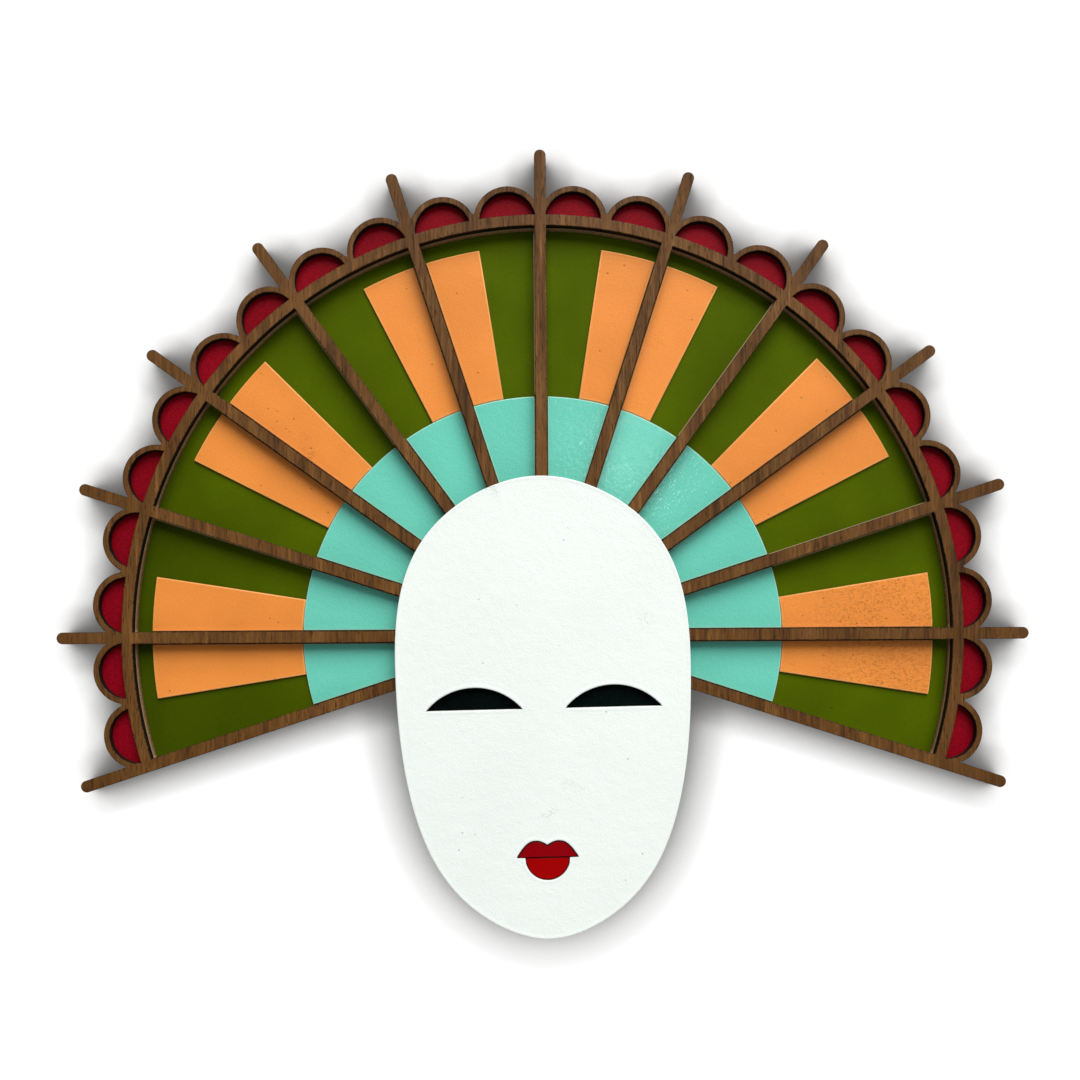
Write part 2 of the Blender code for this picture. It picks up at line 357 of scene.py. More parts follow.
class Graph:
    """Node tree of one material, with one short call for each kind of node that the finishes use."""

    def __init__(self, name: str) -> None:
        """Start a material with a Principled shader on its surface."""
        self.material = bpy.data.materials.new(name)
        self.material.use_nodes = True
        self.tree = self.material.node_tree
        self.tree.nodes.clear()
        self.shader = self.node("BsdfPrincipled")
        self.node("OutputMaterial", {"Surface": self.shader.outputs["BSDF"]})
        self.place = self.node("TexCoord").outputs["Object"]

    def node(self, kind: str, feeds: dict[str | int, Feed] | None = None,
             **options: str) -> bpy.types.Node:
        """New node, with its options set and its sockets fed.

        Args:
            kind: Type of the node, without its prefix.
            feeds: What goes into each socket, by the socket's name or number.
            options: The node's own settings.

        Returns:
            The node.
        """
        node = self.tree.nodes.new("ShaderNode" + kind)
        for option, choice in options.items():
            setattr(node, option, choice)
        self.feed(node, feeds or {})
        return node

    def feed(self, node: bpy.types.Node, feeds: dict[str | int, Feed]) -> None:
        """Link values into a node's sockets, or set numbers, colours and vectors there."""
        for name, value in feeds.items():
            socket = node.inputs[name]
            if isinstance(value, Socket):
                self.tree.links.new(value, socket)
            else:
                socket.default_value = (*value, 1.0) if socket.type == "RGBA" else value

    def stretched(self, y: float = 1.0, z: float = 1.0) -> Socket:
        """Object coordinates with factors on Y and Z: a small one draws a pattern out along its axis."""
        return self.node("Mapping", {"Scale": (1.0, y, z), "Vector": self.place}).outputs["Vector"]

    def noise(self, size: float, detail: float = 2.0, place: Socket | None = None,
              warp: float = 0.0) -> Socket:
        """Soft noise from 0 to 1 whose lumps are about as wide as the size in metres."""
        return self.node("TexNoise", {"Scale": 1.0 / size, "Detail": detail, "Distortion": warp,
                                      "Vector": place or self.place}).outputs["Fac"]

    def cells(self, size: float) -> tuple[Socket, Socket]:
        """Distance to the nearest of scattered points, in cell sizes, and a random value for each."""
        cell = self.node("TexVoronoi", {"Scale": 1.0 / size, "Vector": self.place})
        drawn = self.node("SeparateColor", {"Color": cell.outputs["Color"]})
        return cell.outputs["Distance"], drawn.outputs["Red"]

    def fade(self, value: Socket, low: float, high: float, start: float = 0.0,
             end: float = 1.0) -> Socket:
        """Value mapped smoothly from low..high to start..end, and held at both ends."""
        return self.node("MapRange", {"Value": value, "From Min": low, "From Max": high, "To Min": start,
                                      "To Max": end}, interpolation_type="SMOOTHSTEP").outputs["Result"]

    def maths(self, operation: str, first: Socket | float, second: Socket | float) -> Socket:
        """One arithmetic step on two values."""
        return self.node("Math", {0: first, 1: second}, operation=operation).outputs["Value"]

    def mix(self, share: Socket | float, first: Socket | Rgb, second: Socket | Rgb) -> Socket:
        """First colour at a share of 0, second colour at 1."""
        return self.node("Mix", {"Factor": share, 6: first, 7: second}, data_type="RGBA").outputs[2]

    def darkened(self, colour: Socket, mask: Socket, strength: float, stain: Rgb) -> Socket:
        """Colour darkened towards another colour where the mask is 1, with a strength: dust, pores, and
        painted shade in hollows.
        """
        return self.mix(self.maths("MULTIPLY", mask, strength), colour, stain)

    def ragged(self, value: Socket, noise: Socket, width: float) -> Socket:
        """Value that a noise moves up and down by a width, so that a border on it is ragged."""
        return self.maths("ADD", value, self.fade(noise, 0.3, 0.7, -width, width))

    def rim(self) -> Socket:
        """Edge value of the board, 1 at its edges and 0 on the flat."""
        return self.node("Attribute", attribute_name=RIM).outputs["Fac"]

    def painted_shadow_mask(self, size: float, open_to: float, shut_at: float) -> Socket:
        """How far a place is shut in by what stands round it within a distance, as the mask of a painted
        shadow.

        Args:
            size: The distance.
            open_to: Share of free sky above which the place counts as open.
            shut_at: Share of free sky below which it counts as shut in.

        Returns:
            A value from 0 where the place is open to 1 where it is shut in.
        """
        free = self.node("AmbientOcclusion", {"Distance": size}).outputs["AO"]
        return self.fade(free, shut_at, open_to, 1.0, 0.0)

    def reach(self) -> Socket:
        """Distance from the centre of the fan, in metres."""
        return self.node("VectorMath", {0: self.place}, operation="LENGTH").outputs["Value"]

    def towards(self, x: float, y: float) -> Socket:
        """Distance from the centre of the fan along a direction: the sum of place times direction."""
        return self.node("VectorMath", {0: self.place, 1: (x, y, 0.0)},
                         operation="DOT_PRODUCT").outputs["Value"]

    def height(self) -> Socket:
        """Height above the back of the mask, in metres."""
        return self.node("SeparateXYZ", {"Vector": self.place}).outputs["Z"]

    def bump(self, height: Socket, depth: float, under: Socket | None = None) -> Socket:
        """Normal of a surface raised by the height times the depth in metres."""
        below = {} if under is None else {"Normal": under}
        return self.node("Bump", {"Strength": 1.0, "Distance": depth, "Height": height,
                                  **below}).outputs["Normal"]

    def finish(self, colour: Socket | Rgb, roughness: Socket | float, normal: Socket | None = None,
               gloss: float = 0.25) -> bpy.types.Material:
        """Wire colour, roughness and normal to the shader, set its gloss and return the material."""
        relief = {} if normal is None else {"Normal": normal}
        self.feed(self.shader, {"Base Color": colour, "Roughness": roughness,
                                "Specular IOR Level": gloss, **relief})
        return self.material


def scaled(colour: Rgb, factor: float) -> Rgb:
    """Colour made lighter or darker by a factor."""
    return tuple(min(1.0, channel * factor) for channel in colour)


@dataclass(frozen=True)
class Paint:
    """Sprayed satin paint: clouds, droplet grain, an orange-peel skin, wrinkles, dust specks and pits.

    Attributes:
        name: Name of the finish.
        colour: Its colour in linear values.
        cloud: Share by which the colour wanders over centimetres.
        grain: Share by which it wanders from droplet to droplet.
        peel: Depth of the orange peel.
        peel_size: Width of its lumps.
        waves: Depth of the long waves below them.
        wrinkles: Share of the surface on which the paint wrinkled while it dried.
        wrinkle_depth: Depth of the wrinkles.
        outward: Whether the wrinkles grow towards the rim.
        outward_from, outward_to: Distances from the fan's centre between which they grow.
        pits: Share of the surface's cells that hold a pit.
        pit_depth: Depth of a pit.
        specks: Share of the cells that hold a dark speck of dust.
        roughness: Roughness of the skin.
        gloss: Strength of its reflections.
        worn_and_highlit: Colour that shows along the edges: worn paint, and on the teal and orange
            panels also a painted highlight of their rounded edges.
        wear_and_highlight: How strongly it shows.
        wear_and_highlight_start: Edge value at which it starts to show.
        lower_left_darkening: Share by which the colour darkens towards the lower left end of the fan.
        darkening_way: Direction of that end from the fan's centre.
        darkening_from, darkening_to: Distances that way between which the colour darkens.
        droplet_size, cloud_size, wave_size, furrow_size, patch_size, pit_size, speck_size: Widths of the
            droplets, the clouds, the long waves, a wrinkle, a wrinkled patch, and the cells of the pits
            and of the specks.
        pit_shade, fold_shade: How strongly a pit or a wrinkle is darkened as painted shade, and the
            share of
        the paint's colour that this painted shade has.
        dust_shade: How strongly a speck shows its dust.
    """

    name: str
    colour: Rgb
    cloud: float = 0.06
    grain: float = 0.08
    peel: float = 0.00006
    peel_size: float = 0.0011
    waves: float = 0.00006
    wrinkles: float = 0.0
    wrinkle_depth: float = 0.00010
    outward: bool = False
    outward_from: float = 0.102
    outward_to: float = 0.132
    pits: float = 0.02
    pit_depth: float = 0.00015
    specks: float = 0.006
    roughness: float = 0.34
    gloss: float = 0.25
    worn_and_highlit: Rgb = (0.5, 0.4, 0.3)
    wear_and_highlight: float = 0.0
    wear_and_highlight_start: float = 0.8
    lower_left_darkening: float = 0.0
    darkening_way: tuple[float, float] = (-0.84, -0.54)
    darkening_from: float = 0.060
    darkening_to: float = 0.125
    droplet_size: float = 0.0005
    cloud_size: float = 0.030
    wave_size: float = 0.0045
    furrow_size: float = 0.0011
    patch_size: float = 0.022
    pit_size: float = 0.0017
    speck_size: float = 0.0042
    pit_shade: tuple[float, float] = (0.55, 0.35)
    fold_shade: tuple[float, float] = (0.36, 0.45)
    dust_shade: float = 0.5

    def material(self) -> bpy.types.Material:
        """Build the paint's material."""
        g = Graph(self.name)
        grain = g.noise(self.droplet_size)
        pit = self.spots(g, self.pit_size, self.pits, near=0.12, far=0.30)
        speck = self.spots(g, self.speck_size, self.specks, near=0.05, far=0.10)
        fold = self.folds(g)
        colour = self.sprayed(g, grain)
        # Pits and wrinkles darkened in colour: painted shade in their hollows.
        for mask, (strength, share) in ((pit, self.pit_shade), (fold, self.fold_shade)):
            colour = g.darkened(colour, mask, strength, scaled(self.colour, share))
        colour = g.darkened(colour, speck, self.dust_shade, DUST)
        # Edge colour: worn paint, and on the teal and orange panels also a painted highlight along the
        # rounded edges.
        if self.wear_and_highlight > 0:
            edge = g.ragged(g.rim(), g.noise(0.0016), width=0.12)
            worn_and_highlit = g.fade(edge, self.wear_and_highlight_start - 0.1, self.wear_and_highlight_start + 0.1, 0.0, self.wear_and_highlight)
            colour = g.mix(worn_and_highlit, colour, self.worn_and_highlit)
        normal = g.bump(g.noise(self.peel_size, warp=0.4), self.peel)
        normal = g.bump(g.noise(self.wave_size, 1.0), self.waves, normal)
        sunk = g.maths("ADD", pit, g.maths("MULTIPLY", fold, self.wrinkle_depth / self.pit_depth))
        normal = g.bump(g.maths("SUBTRACT", 1.0, sunk), self.pit_depth, normal)
        rough = g.fade(grain, 0.2, 0.8, 0.86 * self.roughness, 1.2 * self.roughness)
        return g.finish(colour, rough, normal, self.gloss)

    def sprayed(self, g: Graph, grain: Socket) -> Socket:
        """Colour with its clouds and droplets, and darker towards the lower left end of the fan.

        Args:
            g: The material's nodes.
            grain: Noise of the droplets.

        Returns:
            The colour.
        """
        cloud = g.fade(g.noise(self.cloud_size), 0.3, 0.7)
        dim, bright = (g.mix(cloud, scaled(self.colour, (1 - self.cloud) * share),
                             scaled(self.colour, (1 + self.cloud) * share))
                       for share in (1 - 2 * self.grain, 1.0))
        colour = g.mix(g.fade(grain, 0.35, 0.65), dim, bright)
        # Darker towards the lower left end of the fan, by a share of the colour.
        if self.lower_left_darkening > 0:
            lower_left = g.fade(g.towards(*self.darkening_way), self.darkening_from, self.darkening_to)
            colour = g.darkened(colour, lower_left, self.lower_left_darkening, BLACK)
        return colour

    def spots(self, g: Graph, size: float, share: float, near: float, far: float) -> Socket:
        """Mask of small round spots, one in each of some of the cells of a Voronoi pattern.

        Args:
            g: The material's nodes.
            size: Width of a cell.
            share: Share of the cells that hold a spot.
            near: Radius of a spot's core, in cell widths.
            far: Radius at which it ends.

        Returns:
            The mask.
        """
        away, drawn = g.cells(size)
        return g.maths("MULTIPLY", g.fade(away, near, far, 1.0, 0.0),
                       g.fade(drawn, 1 - share, 1 - 0.9 * share))

    def folds(self, g: Graph) -> Socket:
        """Mask of the wrinkles: short furrows, within patches that cover their share of the surface.

        A patch lies where a broad noise passes a start value, which falls as the share grows.
        """
        furrow = g.fade(g.noise(self.furrow_size, 1.0, warp=1.2), 0.37, 0.46, 1.0, 0.0)
        start = 0.72 - 0.44 * self.wrinkles
        patch = g.fade(g.noise(self.patch_size, 1.0), start, start + 0.12)
        if self.outward:
            grown = g.fade(g.reach(), self.outward_from, self.outward_to, 0.25, 1.0)
            patch = g.maths("MULTIPLY", patch, grown)
        return g.maths("MULTIPLY", furrow, patch)


@dataclass(frozen=True)
class Walnut:
    """Oiled walnut with its grain along the mask, charred where the laser cut its edge.

    Attributes:
        name: Name of the finish.
        light: Pale streaks of the grain.
        mid: Main colour.
        dark: Dark streaks.
        char: Charred edge.
        spikes_start, spikes_end: Distances from the centre between which the wood turns darker.
        streak_size, band_size, figure_size, fibre_size, pore_size: Widths of the grain's streaks and
            bands, of the broad figure, and of the fine fibres and pores.
    """

    name: str = "walnut_grain"
    light: Rgb = (0.238, 0.107, 0.027)
    mid: Rgb = (0.124, 0.050, 0.0102)
    dark: Rgb = (0.043, 0.016, 0.0031)
    char: Rgb = (0.008, 0.004, 0.002)
    spikes_start: float = 0.165
    spikes_end: float = 0.182
    streak_size: float = 0.0012
    band_size: float = 0.0055
    figure_size: float = 0.016
    fibre_size: float = 0.00035
    pore_size: float = 0.00045

    def material(self) -> bpy.types.Material:
        """Build the wood: streaks, pores and broad figure, all drawn out along the grain."""
        g = Graph(self.name)
        streak = g.noise(self.streak_size, 4.0, g.stretched(y=0.045), 0.25)
        band = g.noise(self.band_size, 2.0, g.stretched(y=0.09), 0.4)
        figure = g.noise(self.figure_size, 2.0, g.stretched(y=0.3), 0.6)
        fine = g.noise(self.fibre_size, 2.0, g.stretched(y=0.05))
        pore = g.fade(g.noise(self.pore_size, 1.0, g.stretched(y=0.10)), 0.60, 0.72)
        both = g.maths("ADD", g.maths("MULTIPLY", streak, 0.6), g.maths("MULTIPLY", band, 0.4))
        base = g.mix(g.fade(both, 0.32, 0.52), self.dark, self.mid)
        base = g.mix(g.fade(both, 0.50, 0.72), base, self.light)
        base = g.mix(g.fade(figure, 0.35, 0.7, 0.0, 0.35), base, self.light)
        base = g.mix(g.fade(fine, 0.40, 0.62, 0.30, 0.0), base, self.dark)
        base = g.darkened(base, pore, 0.7, scaled(self.dark, 0.6))
        base = g.mix(g.fade(g.reach(), self.spikes_start, self.spikes_end, 0.0, 0.22), base, self.dark)
        edge = g.ragged(g.rim(), g.noise(0.0009, 3.0), width=0.2)
        colour = g.mix(g.fade(edge, 0.75, 1.15, 0.0, 0.85), base, self.char)
        grain = g.maths("SUBTRACT", g.fade(streak, 0.3, 0.7), g.maths("MULTIPLY", pore, 0.9))
        rough = g.fade(streak, 0.3, 0.7, 0.60, 0.46)
        return g.finish(colour, rough, g.bump(grain, FIBRE), gloss=0.15)


@dataclass(frozen=True)
class Char:
    """Wall of a laser cut: black, with brown where the soot is thin.

    Attributes:
        name: Name of the finish.
        soot: Colour of the soot.
        scorched: Colour of the wood under it.
    """

    name: str = "charred_cut"
    soot: Rgb = (0.006, 0.0025, 0.0015)
    scorched: Rgb = (0.035, 0.014, 0.006)

    def material(self) -> bpy.types.Material:
        """Build the soot, streaked across the board's thickness."""
        g = Graph(self.name)
        streak = g.noise(0.0005, 3.0, g.stretched(z=0.12))
        patch = g.noise(0.006, 2.0)
        both = g.maths("MULTIPLY", g.fade(streak, 0.45, 0.75), g.fade(patch, 0.35, 0.7))
        colour = g.mix(both, self.soot, self.scorched)
        return g.finish(colour, roughness=0.75, normal=g.bump(streak, FIBRE))


@dataclass(frozen=True)
class RawPly:
    """Bare plywood: pale or toasted veneer, darker glue lines, and paint mist at the front.

    Attributes:
        name: Name of the finish.
        veneer: Colour of the wood.
        toast: Its darker streaks.
        glue: Colour of the glue lines.
        span: Heights of the board's back and front.
        mist: Colour of the paint that ran over the front edge.
        mist_depth: How far down it reaches.
    """

    name: str
    veneer: Rgb
    toast: Rgb
    glue: Rgb
    span: Span
    mist: Rgb
    mist_depth: float

    def material(self) -> bpy.types.Material:
        """Build the ply: three veneers, with glue at a third and two thirds of the thickness."""
        g = Graph(self.name)
        streak = g.noise(0.0006, 3.0, g.stretched(z=0.25))
        patch = g.noise(0.009, 2.0)
        wood = g.mix(g.fade(streak, 0.35, 0.7), self.toast, self.veneer)
        wood = g.mix(g.fade(patch, 0.35, 0.7, 0.35, 0.0), wood, self.toast)
        thickness = self.span[1] - self.span[0]
        level = g.maths("DIVIDE", g.maths("SUBTRACT", g.height(), self.span[0]), thickness)
        for line in (1 / 3, 2 / 3):
            away = g.maths("ABSOLUTE", g.maths("SUBTRACT", level, line), 0.0)
            wood = g.mix(g.fade(away, 0.02, 0.07, 0.75, 0.0), wood, self.glue)
        share = self.mist_depth / thickness
        border = g.ragged(level, streak, width=share / 2)
        colour = g.mix(g.fade(border, 1.0 - share, 1.0 - share / 3, 0.0, 0.85), wood, self.mist)
        return g.finish(colour, roughness=0.7, normal=g.bump(streak, FIBRE))


@dataclass(frozen=True)
class BareBack:
    """Unpainted back of a board: pale veneer with a light grain and scorch beside the cuts.

    Attributes:
        name: Name of the finish.
        veneer: Colour of the wood.
        streaks: Its darker streaks.
        scorch: Colour beside the cuts.
        grain_depth: Depth of the grain.
    """

    name: str = "bare_back"
    veneer: Rgb = (0.46, 0.31, 0.17)
    streaks: Rgb = (0.32, 0.20, 0.10)
    scorch: Rgb = (0.10, 0.05, 0.02)
    grain_depth: float = 0.00005

    def material(self) -> bpy.types.Material:
        """Build the veneer with its grain along the mask."""
        g = Graph(self.name)
        streak = g.noise(0.0016, 4.0, g.stretched(y=0.05), 0.4)
        figure = g.noise(0.02, 2.0, g.stretched(y=0.2), 1.2)
        wood = g.mix(g.fade(streak, 0.35, 0.65), self.streaks, self.veneer)
        wood = g.mix(g.fade(figure, 0.45, 0.6, 0.3, 0.0), wood, self.streaks)
        colour = g.mix(g.fade(g.rim(), 0.2, 1.0, 0.0, 0.7), wood, self.scorch)
        return g.finish(colour, roughness=0.65, normal=g.bump(streak, self.grain_depth))


@dataclass(frozen=True)
class Levels:
    """Heights of the boards' faces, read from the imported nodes."""

    back: Span
    middle: Span
    panel: Span
    lattice: Span
    face: Span

    @classmethod
    def from_frame(cls) -> "Levels":
        """Read the lowest and highest point of one node of each layer."""
        boxes = [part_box(node) for node in ("back_board", "red_frame", "teal_panel_01", "rib_lattice",
                                           "face_plate")]
        return cls(*((low.z, high.z) for low, high in boxes))


@dataclass(frozen=True)
class Peek:
    """Stretch where a rib of the middle board shows beside the rib above it.

    Attributes:
        rib: Rib's angle in degrees, clockwise from the crown.
        hand: Side of the rib, anticlockwise or clockwise, as left or right of someone at the hub.
        width: How much shows.
    """

    rib: int
    hand: Hand
    width: float


@dataclass(frozen=True)
class Fan:
    """Sizes of the fan and outlines of its boards.

    Attributes:
        bays: Number of bays between the ribs.
        pitch: Angle between two ribs.
        rib_width: Width of a rib.
        rim_inner: Inner radius of the rim.
        rim_width: Width of the rim.
        spike: Length of the spikes beyond the rim.
        hub_margin: How far the hub reaches beyond the ribs' crossing.
        scallop_set_in: Distance of a scallop's centre inside the rim's outer edge.
        scallop_lap: How far two neighbouring scallops lap.
        loop_width: Width of a scallop's loop.
        crease_radius: Radius in the valley between two scallops.
        teal_radius: Outer radius of the teal panels.
        seam: Gap between a teal and an orange panel.
        orange_margin: Distance of the orange panels from the rim.
        clearance: Gap between a panel and what it lies beside.
        peeks: Stretches where the middle board shows beside a rib.
    """

    bays: int = 12
    pitch: float = math.radians(18.0)
    rib_width: float = 0.0047
    rim_inner: float = 0.1641
    rim_width: float = 0.0044
    spike: float = 0.0259
    hub_margin: float = 0.006
    scallop_set_in: float = 0.0017
    scallop_lap: float = 0.0004
    loop_width: float = 0.0023
    crease_radius: float = 0.0005
    teal_radius: float = 0.0970
    seam: float = 0.0001
    orange_margin: float = 0.0059
    clearance: float = 0.0003
    peeks: tuple[Peek, ...] = (Peek(0, Hand.LEFT, 0.00045), Peek(36, Hand.LEFT, 0.00045),
                               Peek(72, Hand.RIGHT, 0.0005), Peek(72, Hand.LEFT, 0.0003),
                               Peek(-72, Hand.LEFT, 0.00045), Peek(-36, Hand.LEFT, 0.00055))

    @property
    def rim_outer(self) -> float:
        """Outer radius of the rim."""
        return self.rim_inner + self.rim_width

    @property
    def tip(self) -> float:
        """Radius of the spikes' tips."""
        return self.rim_outer + self.spike

    @property
    def hub(self) -> float:
        """Radius of the hub behind the face."""
        return self.rib_width / (2 * math.sin(self.pitch / 2)) + self.hub_margin

    @property
    def scallop_centre(self) -> float:
        """Radius on which the scallops' centres lie."""
        return self.rim_outer - self.scallop_set_in

    @property
    def scallop(self) -> float:
        """Outer radius of a scallop."""
        return self.scallop_centre * math.sin(self.pitch / 4) + self.scallop_lap

    def rib_angle(self, rib: int) -> float:
        """Angle of a rib, counted clockwise from the lower left one."""
        return (rib - self.bays / 2) * self.pitch

    def scallop_edge(self, bay: int, steps: int = 22) -> Loop:
        """Outer edge of a bay's two scallops, with a small round in the valley between them.

        The valley's circle touches both scallops from outside, so its centre lies on the bay's middle
        ray, one scallop radius and one crease radius away from either scallop's centre.

        Args:
            bay: Number of the bay, counted clockwise from the lower left.
            steps: Segments of each scallop.

        Returns:
            The points from the left rib to the right rib.
        """
        half = self.pitch / 4
        spread = self.scallop_centre * math.sin(half)
        beside_rib = half + math.asin((spread - self.rib_width / 2) / self.scallop)
        crease_reach = (self.scallop_centre * math.cos(half)
                        + math.sqrt((self.scallop + self.crease_radius) ** 2 - spread ** 2))
        at_crease = math.atan2(crease_reach * math.sin(half),
                               crease_reach * math.cos(half) - self.scallop_centre)
        left = self.rib_angle(bay) + half
        right = left + 2 * half
        valley = left + half
        turn = at_crease - half
        return np.concatenate([
            arc(self.scallop_centre * ray(left)[0], self.scallop, left - beside_rib,
                left + at_crease, steps),
            arc(crease_reach * ray(valley)[0], self.crease_radius, valley + math.pi + turn,
                valley + math.pi - turn, steps=6)[1:-1],
            arc(self.scallop_centre * ray(right)[0], self.scallop, right - at_crease,
                right + beside_rib, steps)])

    def outline(self) -> Loop:
        """Outline of the fan's boards: spikes and scallops in turn, then the hub below."""
        half = self.rib_width / 2
        stretches = []
        for rib in range(self.bays + 1):
            angle = self.rib_angle(rib)
            stretches.append(arc((self.tip - half) * ray(angle)[0], half, angle - math.pi / 2,
                                 angle + math.pi / 2, steps=14))
            if rib < self.bays:
                stretches.append(self.scallop_edge(rib))
        lap = math.asin(half / self.hub)
        stretches.append(arc(CENTRE, self.hub, self.rib_angle(self.bays) + lap,
                             2 * math.pi + self.rib_angle(0) - lap, steps=24))
        return np.concatenate(stretches)

    def sector(self, left: tuple[float, float], right: tuple[float, float], inner: float,
               outer: float, steps: int = BAY_STEPS) -> Loop:
        """Ring sector whose straight sides run parallel to two rays.

        Args:
            left: Angle of the left ray, and distance of the side from it.
            right: Angle of the right ray, and distance of the side from it.
            inner: Inner radius.
            outer: Outer radius.
            steps: Segments of each arc.

        Returns:
            The closed outline.
        """
        def ends(radius: float) -> tuple[float, float]:
            """Angles at which the two sides meet a circle."""
            return left[0] + math.asin(left[1] / radius), right[0] - math.asin(right[1] / radius)
        outer_left, outer_right = ends(outer)
        inner_left, inner_right = ends(inner)
        return np.concatenate([arc(CENTRE, outer, outer_left, outer_right, steps),
                               arc(CENTRE, inner, inner_right, inner_left, max(2, steps // 3))])

    def between_ribs(self, bay: int, gap: float, inner: float, outer: float) -> Loop:
        """Ring sector between a bay's two ribs, a gap away from either of them."""
        side = self.rib_width / 2 + gap
        return self.sector((self.rib_angle(bay), side), (self.rib_angle(bay + 1), side), inner, outer)

    def bay(self, bay: int) -> Loop:
        """Opening between two ribs."""
        return self.between_ribs(bay, 0.0, self.hub, self.rim_inner)

    def peeking_bay(self, bay: int) -> Loop:
        """Opening of the middle board, narrowed beyond the teal panel where a rib peeks out.

        It runs along the far part's outer arc to its lower right corner, then round the near part from
        its upper right corner to its upper left one, and ends at the far part's lower left corner.

        Args:
            bay: Number of the bay.

        Returns:
            The closed outline.
        """
        side = self.rib_width / 2
        inner = self.teal_radius + 2 * self.clearance
        left, right = self.rib_angle(bay), self.rib_angle(bay + 1)
        shown = {(peek.rib, peek.hand): peek.width for peek in self.peeks}
        more_left = shown.get((round(math.degrees(left)), Hand.RIGHT), 0.0)
        more_right = shown.get((round(math.degrees(right)), Hand.LEFT), 0.0)
        if more_left == 0 and more_right == 0:
            return self.bay(bay)
        far = self.sector((left, side + more_left), (right, side + more_right), inner, self.rim_inner)
        near = self.between_ribs(bay, 0.0, self.hub, inner - self.clearance)
        return np.concatenate([far[:BAY_STEPS + 2], near[BAY_STEPS:], near[:1], far[-1:]])

    def scallop_hole(self, middle: float) -> Loop:
        """Opening of a scallop: its inner circle, closed by the rim's outer edge."""
        radius = self.scallop - self.loop_width
        centre = self.scallop_centre * ray(middle)[0]
        reach = self.rim_outer ** 2 - self.scallop_centre ** 2 - radius ** 2
        end = math.acos(reach / (2 * self.scallop_centre * radius))
        base = math.asin(radius * math.sin(end) / self.rim_outer)
        chord = arc(CENTRE, self.rim_outer, middle + base, middle - base, steps=10)
        return np.concatenate([arc(centre, radius, middle - end, middle + end, steps=28), chord[1:-1]])

    def scallop_holes(self) -> list[Loop]:
        """Openings of all scallops, two in each bay."""
        first = self.rib_angle(0) + self.pitch / 4
        return [self.scallop_hole(first + number * self.pitch / 2) for number in range(2 * self.bays)]

    def teal_panel(self, bay: int) -> Loop:
        """Outline of the teal panel in a bay."""
        return self.between_ribs(bay, self.clearance, self.hub + self.clearance, self.teal_radius)

    def orange_panel(self, bay: int) -> Loop:
        """Outline of the orange panel in the half of a bay that lies beside an odd rib."""
        side = self.rib_width / 2 + self.clearance
        left, right = self.rib_angle(bay), self.rib_angle(bay + 1)
        middle = (left + right) / 2
        sides = ((left, side), (middle, 0.0)) if bay % 2 else ((middle, 0.0), (right, side))
        inner, outer = self.teal_radius + self.seam, self.rim_inner - self.orange_margin
        return self.sector(*sides, inner, outer, steps=14)

    def face_room(self) -> tuple[float, float]:
        """Half-width of a rib and radius of the hub, with clearance, for a board beside them."""
        return self.rib_width / 2 + self.clearance, self.hub + self.clearance


